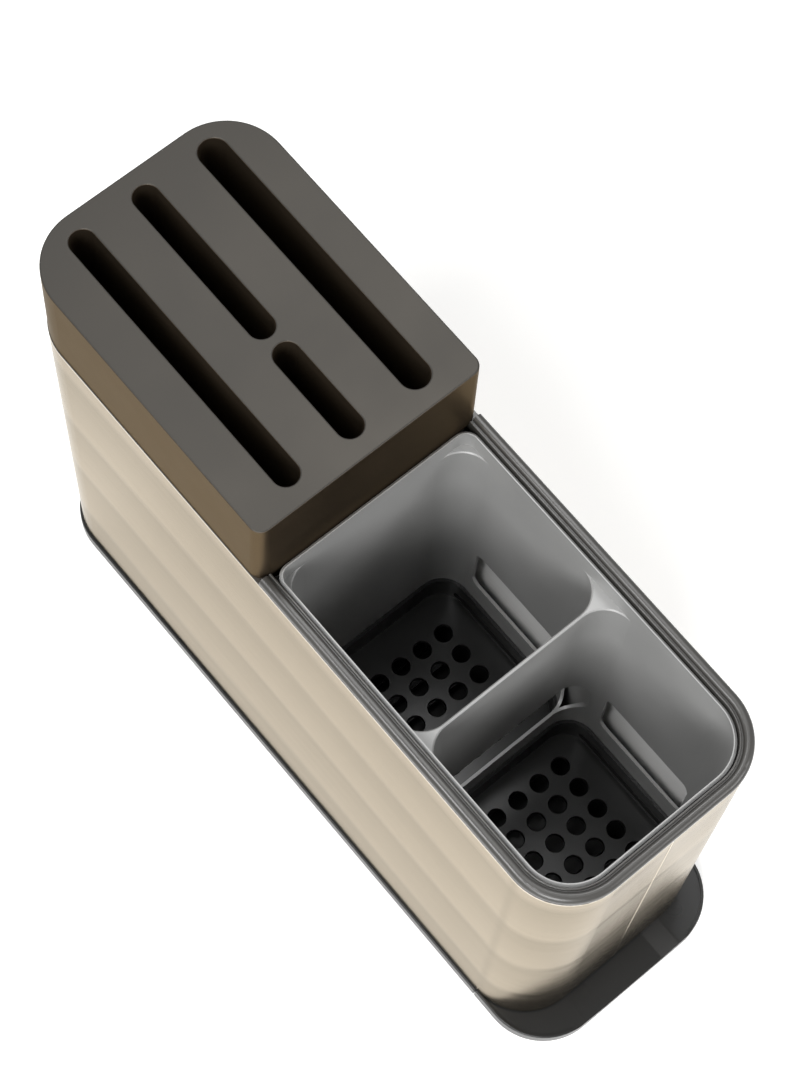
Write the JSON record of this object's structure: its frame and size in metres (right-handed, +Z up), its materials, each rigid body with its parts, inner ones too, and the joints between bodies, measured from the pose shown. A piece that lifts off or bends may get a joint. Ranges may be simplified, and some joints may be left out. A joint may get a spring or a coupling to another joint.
{
  "type": "cutlery drainer",
  "caption": "Slim steel-sleeved cutlery and knife drainer with a lift-out divided caddy, a slotted knife block, a plastic base and a pull-out drip tray.",
  "frame": {"origin": "on the table at the middle of the overall outline", "axes": "+Z up, +Y along the length towards the knife block's end, -Y the front end with the tray's lip, +X to the right seen from the front end"},
  "size_m": [0.102, 0.307, 0.2285],
  "materials": {
    "champagne_steel": "satin, brushed lengthwise",
    "rim_plastic": "satin",
    "dark_plastic": "fine matt",
    "foot_rubber": "matt",
    "caddy_plastic": "fine matt",
    "block_plastic": "fine matt"
  },
  "bodies": {
    "holder": {"sleeve": "champagne_steel", "top_rim": "rim_plastic", "base_frame": "dark_plastic", "feet": "foot_rubber"},
    "tray": {"drip_tray": "dark_plastic"},
    "cup": {"caddy": "caddy_plastic", "front_drain_plate": "dark_plastic", "rear_drain_plate": "dark_plastic"},
    "block": {"knife_block": "block_plastic"}
  },
  "joints": [
    {"name": "tray_slide", "type": "slide", "parent": "holder", "child": "tray", "axis": [0, -1, 0], "range_m": [0, 0.24]},
    {"name": "caddy_lift", "type": "slide", "parent": "holder", "child": "cup", "axis": [0, 0, 1], "range_m": [0, 0.2]},
    {"name": "block_lift", "type": "slide", "parent": "holder", "child": "block", "axis": [0, 0, 1], "range_m": [0, 0.08]}
  ]
}
